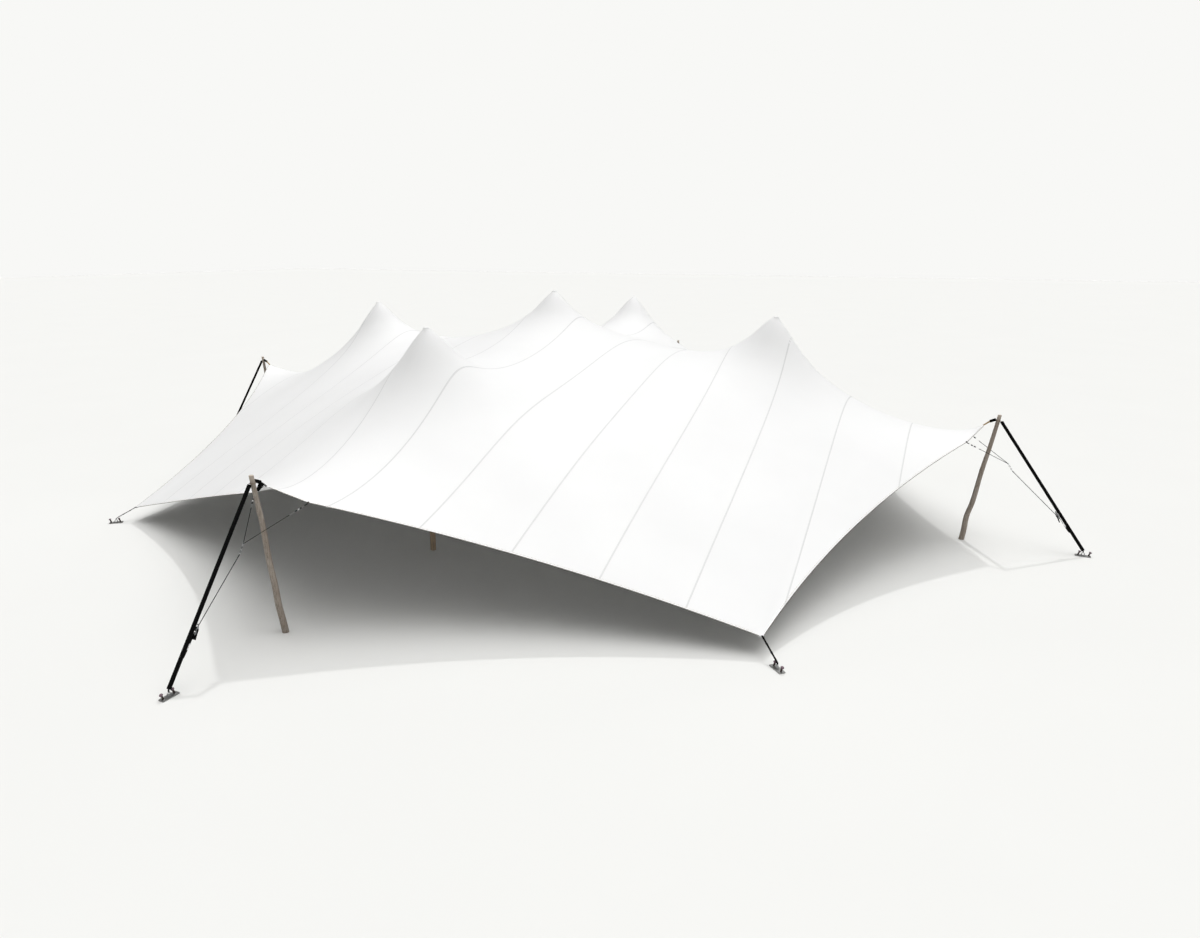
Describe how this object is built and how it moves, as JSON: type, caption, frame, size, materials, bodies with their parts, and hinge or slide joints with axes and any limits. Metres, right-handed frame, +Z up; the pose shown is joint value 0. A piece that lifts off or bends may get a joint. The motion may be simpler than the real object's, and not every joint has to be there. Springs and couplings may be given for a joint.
{
  "type": "stretch tent",
  "caption": "White stretch tent: one seamed membrane over five wooden masts, four raised corners on leaning side poles, four low corners, ratchet guys and staked anchor plates.",
  "frame": {"origin": "middle of the tent's footprint on the ground, below the centre mast", "axes": "+Z up, -Y towards the front raised corner and +X towards the right one; the low corners lie on the diagonals"},
  "size_m": [23.7246, 23.7246, 4.94],
  "materials": {
    "membrane": "matte",
    "wood": "weathered",
    "webbing": "woven",
    "rope": "braided",
    "steel": "satin",
    "handle": "satin"
  },
  "bodies": {
    "tent": {"canopy_panel_1": "membrane", "canopy_panel_2": "membrane", "canopy_panel_3": "membrane", "canopy_panel_4": "membrane", "canopy_panel_5": "membrane", "canopy_panel_6": "membrane", "canopy_panel_7": "membrane", "canopy_panel_8": "membrane", "mast_centre": "wood", "mast_front": "wood", "mast_right": "wood", "mast_back": "wood", "mast_left": "wood", "side_pole_front": "wood", "guy_strap_front": "webbing", "bridle_front": "rope", "ratchet_front": "steel", "anchor_front": "steel", "side_pole_right": "wood", "guy_strap_right": "webbing", "bridle_right": "rope", "ratchet_right": "steel", "anchor_right": "steel", "side_pole_back": "wood", "guy_strap_back": "webbing", "bridle_back": "rope", "ratchet_back": "steel", "anchor_back": "steel", "side_pole_left": "wood", "guy_strap_left": "webbing", "bridle_left": "rope", "ratchet_left": "steel", "anchor_left": "steel", "corner_strap_front_right": "webbing", "anchor_front_right": "steel", "corner_strap_back_right": "webbing", "anchor_back_right": "steel", "corner_strap_back_left": "webbing", "anchor_back_left": "steel", "corner_strap_front_left": "webbing", "anchor_front_left": "steel"},
    "handle_front": {"ratchet_handle_front": "handle"},
    "handle_right": {"ratchet_handle_right": "handle"},
    "handle_back": {"ratchet_handle_back": "handle"},
    "handle_left": {"ratchet_handle_left": "handle"}
  },
  "joints": [
    {"name": "ratchet_handle_front_swing", "type": "hinge", "parent": "tent", "child": "handle_front", "pos_m": [0, -11.19546, 0.75937], "axis": [1, 0, 0], "range_deg": [0, 130]},
    {"name": "ratchet_handle_right_swing", "type": "hinge", "parent": "tent", "child": "handle_right", "pos_m": [11.19546, 0, 0.75937], "axis": [0, 1, 0], "range_deg": [0, 130]},
    {"name": "ratchet_handle_back_swing", "type": "hinge", "parent": "tent", "child": "handle_back", "pos_m": [0, 11.19546, 0.75937], "axis": [-1, 0, 0], "range_deg": [0, 130]},
    {"name": "ratchet_handle_left_swing", "type": "hinge", "parent": "tent", "child": "handle_left", "pos_m": [-11.19546, 0, 0.75937], "axis": [0, -1, 0], "range_deg": [0, 130]}
  ]
}
